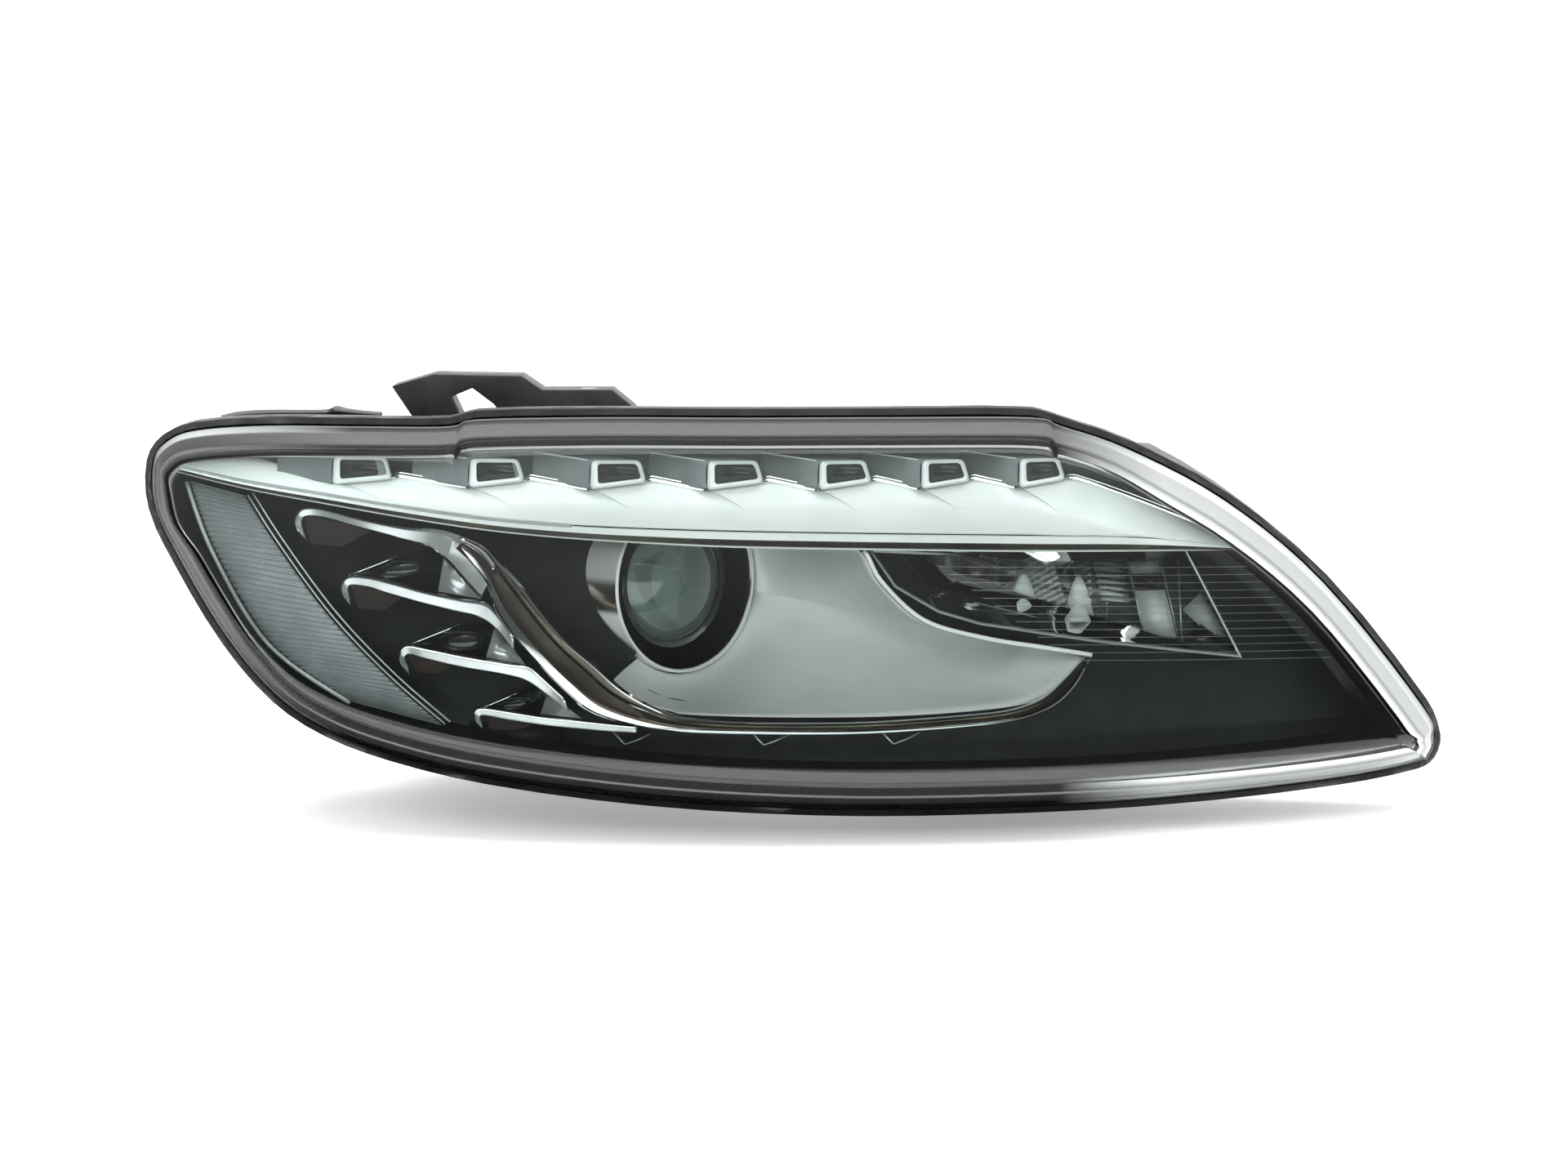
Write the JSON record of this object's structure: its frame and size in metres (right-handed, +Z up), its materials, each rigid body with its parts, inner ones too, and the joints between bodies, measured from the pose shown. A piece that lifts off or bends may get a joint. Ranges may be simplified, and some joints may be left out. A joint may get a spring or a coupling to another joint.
{
  "type": "car headlight assembly",
  "caption": "Right-hand car headlight with a swivelling projector, daytime and turn light trims, corner reflector, clear lens, black housing, aiming gear and service caps.",
  "frame": {"origin": "centre of the top centre mounting hole", "axes": "-Y out of the lamp's face, +Z up, +X to the car's grille; the hole's axis is vertical"},
  "size_m": [0.7397, 0.3305, 0.239],
  "materials": {
    "black_plastic": "moulded matt",
    "clear_lens": "polished clear polycarbonate",
    "black_rubber": "matt",
    "grained_bezel": "fine leather grain",
    "silver_trim": "satin silver",
    "smoked_window": "smoked",
    "led_chip": "phosphor dome",
    "circuit_board": "solder mask",
    "chrome_trim": "bright chrome",
    "clear_reflector": "ribbed clear",
    "bulb_glass": "clear glass",
    "projector_glass": "polished optical glass",
    "steel": "zinc plated",
    "mirror_coat": "vapour-coated",
    "white_nylon": "natural nylon",
    "cast_metal": "die cast",
    "contact_brass": "plated",
    "bracket_paint": "glass-filled, satin"
  },
  "bodies": {
    "lamp": {"housing": "black_plastic", "outer_lens": "clear_lens", "lens_seal": "black_rubber", "inner_bezel": "grained_bezel", "drl_reflector": "silver_trim", "drl_pod_windows": "smoked_window", "drl_leds": "led_chip", "drl_board": "circuit_board", "chrome_strip": "chrome_trim", "turn_trim": "chrome_trim", "turn_windows": "smoked_window", "turn_leds": "led_chip", "turn_board": "circuit_board", "silver_panel": "silver_trim", "corner_reflector": "chrome_trim", "side_reflector": "clear_reflector", "projector_bezel": "chrome_trim", "pivot_stud": "steel", "level_motor": "black_plastic", "ballast": "cast_metal", "ballast_gasket": "black_rubber", "ballast_screws": "steel", "bulb_cap_seal": "black_rubber", "corner_cap_seal": "black_rubber", "harness_socket": "black_plastic", "socket_pins": "contact_brass", "vent_cap": "black_plastic", "led_driver": "cast_metal", "led_driver_screws": "steel", "upper_bracket": "bracket_paint", "bracket_screws": "steel", "mount_sleeves": "steel", "top_seal_strip": "black_rubber"},
    "cup": {"pivot_cup": "white_nylon"},
    "frame": {"support_frame": "black_plastic", "swivel_motor": "black_plastic"},
    "pinion": {"swivel_pinion": "white_nylon"},
    "swivel": {"lens_holder": "black_plastic", "projector_lens": "projector_glass", "lens_clip": "steel", "shutter_plate": "black_plastic", "projector_reflector": "mirror_coat", "solenoid": "black_plastic", "xenon_bulb": "bulb_glass", "igniter": "black_plastic", "bulb_retainer": "steel", "swivel_sector": "white_nylon"},
    "shutter": {"shutter_flap": "steel"},
    "plunger": {"solenoid_plunger": "steel"},
    "level_rod": {"level_rod": "white_nylon"},
    "level_adjuster": {"level_adjuster": "white_nylon"},
    "aim_screw": {"aim_screw": "steel"},
    "aim_nut": {"aim_nut": "white_nylon"},
    "bulb_cap": {"bulb_cap": "black_plastic"},
    "corner_cap": {"corner_cap": "black_plastic"},
    "corner_bulb": {"corner_bulb": "bulb_glass", "corner_bulb_holder": "black_plastic"}
  },
  "joints": [
    {"name": "sideways_aim", "type": "hinge", "parent": "lamp", "child": "cup", "pos_m": [-0.16293, -0.05677, -0.034], "axis": [0, 0, 1], "range_deg": [-2.5, 2.5]},
    {"name": "height_aim", "type": "hinge", "parent": "cup", "child": "frame", "pos_m": [-0.16293, -0.05677, -0.034], "axis": [0.7431, 0.6691, 0], "range_deg": [-3, 3]},
    {"name": "level_rod_slide", "type": "slide", "parent": "lamp", "child": "level_rod", "axis": [-0.6691, 0.7431, 0], "range_m": [-0.0059, 0.0059]},
    {"name": "level_adjuster_turn", "type": "hinge", "parent": "lamp", "child": "level_adjuster", "pos_m": [-0.25795, 0.04876, -0.146], "axis": [-0.6691, 0.7431, 0], "range_deg": [-352, 352]},
    {"name": "aim_nut_slide", "type": "slide", "parent": "lamp", "child": "aim_nut", "axis": [-0.6691, 0.7431, 0], "range_m": [-0.0058, 0.0058]},
    {"name": "aim_screw_turn", "type": "hinge", "parent": "lamp", "child": "aim_screw", "pos_m": [-0.13978, 0.11479, -0.034], "axis": [-0.6691, 0.7431, 0], "range_deg": [-346, 346]},
    {"name": "bend_swivel", "type": "hinge", "parent": "frame", "child": "swivel", "pos_m": [-0.0831, -0.04679, -0.084], "axis": [0, 0, 1], "range_deg": [-8, 12]},
    {"name": "pinion_turn", "type": "hinge", "parent": "frame", "child": "pinion", "pos_m": [-0.10452, -0.02301, -0.148], "axis": [0, 0, 1], "range_deg": [-36, 24]},
    {"name": "shutter_tip", "type": "hinge", "parent": "swivel", "child": "shutter", "pos_m": [-0.10117, -0.02672, -0.114], "axis": [-0.7431, -0.6691, 0], "range_deg": [0, 30], "stiffness_Nm_per_rad": 0.02, "springref_deg": -28.65},
    {"name": "plunger_slide", "type": "slide", "parent": "swivel", "child": "plunger", "axis": [0.6691, -0.7431, 0], "range_m": [0, 0.0069]},
    {"name": "bulb_cap_twist", "type": "hinge", "parent": "lamp", "child": "bulb_cap", "pos_m": [-0.22734, 0.10593, -0.084], "axis": [-0.6691, 0.7431, 0], "range_deg": [0, 60]},
    {"name": "corner_cap_twist", "type": "hinge", "parent": "lamp", "child": "corner_cap", "pos_m": [0.04026, 0.04188, -0.088], "axis": [-0.6691, 0.7431, 0], "range_deg": [0, 60]},
    {"name": "corner_bulb_twist", "type": "hinge", "parent": "lamp", "child": "corner_bulb", "pos_m": [0.10584, -0.03095, -0.088], "axis": [-0.6691, 0.7431, 0], "range_deg": [0, 30]}
  ],
  "couplings": [
    {"joint": "level_rod_slide", "follows": "height_aim", "m_per_rad": 0.112},
    {"joint": "level_adjuster_turn", "follows": "height_aim", "ratio": 117.29},
    {"joint": "aim_nut_slide", "follows": "sideways_aim", "m_per_rad": 0.132},
    {"joint": "aim_screw_turn", "follows": "sideways_aim", "ratio": 138.23},
    {"joint": "pinion_turn", "follows": "bend_swivel", "ratio": -3},
    {"joint": "plunger_slide", "follows": "shutter_tip", "m_per_rad": 0.013}
  ]
}
